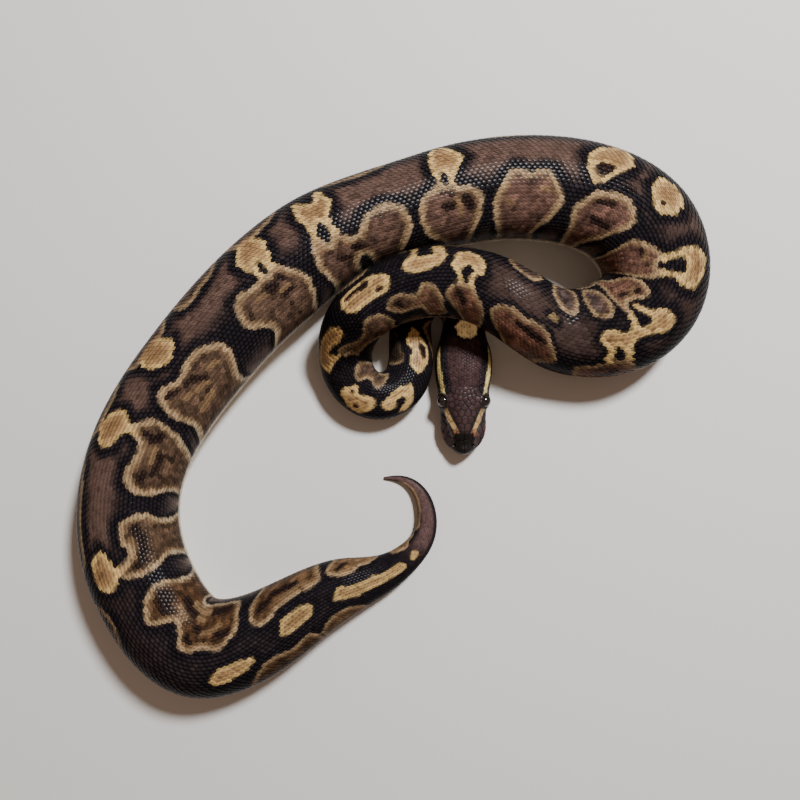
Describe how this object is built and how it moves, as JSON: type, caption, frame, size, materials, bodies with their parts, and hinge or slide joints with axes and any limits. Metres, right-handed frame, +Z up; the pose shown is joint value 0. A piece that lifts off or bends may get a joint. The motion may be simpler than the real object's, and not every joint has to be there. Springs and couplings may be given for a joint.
{
  "type": "ball python",
  "caption": "Life-size still model of a young ball python lying in an open loop, its neck under a crossing coil and its head laid flat.",
  "frame": {"origin": "centre of the bounding box, on the floor plane under the belly", "axes": "+X across the widest spread of the coils, from the animal's bent tail side to its far loop; +Y away from the snout, which points to -Y; +Z up"},
  "size_m": [0.215, 0.1916, 0.034],
  "materials": {
    "head_skin": "smooth dark brown head shields, satin gloss",
    "body_skin": "small smooth scales, black-brown with tan and yellow blotches, satin gloss",
    "eye": "near-black, wet gloss"
  },
  "bodies": {
    "root": {"head": "head_skin", "lower_jaw": "head_skin", "eye_left": "eye", "eye_right": "eye", "neck": "body_skin", "trunk_01": "body_skin", "trunk_02": "body_skin", "trunk_03": "body_skin", "trunk_04": "body_skin", "trunk_05": "body_skin", "trunk_06": "body_skin", "trunk_07": "body_skin", "trunk_08": "body_skin", "trunk_09": "body_skin", "trunk_10": "body_skin", "trunk_11": "body_skin", "trunk_12": "body_skin", "trunk_13": "body_skin", "trunk_14": "body_skin", "trunk_15": "body_skin", "trunk_16": "body_skin", "trunk_17": "body_skin", "tail_1": "body_skin", "tail_2": "body_skin"}
  },
  "joints": []
}
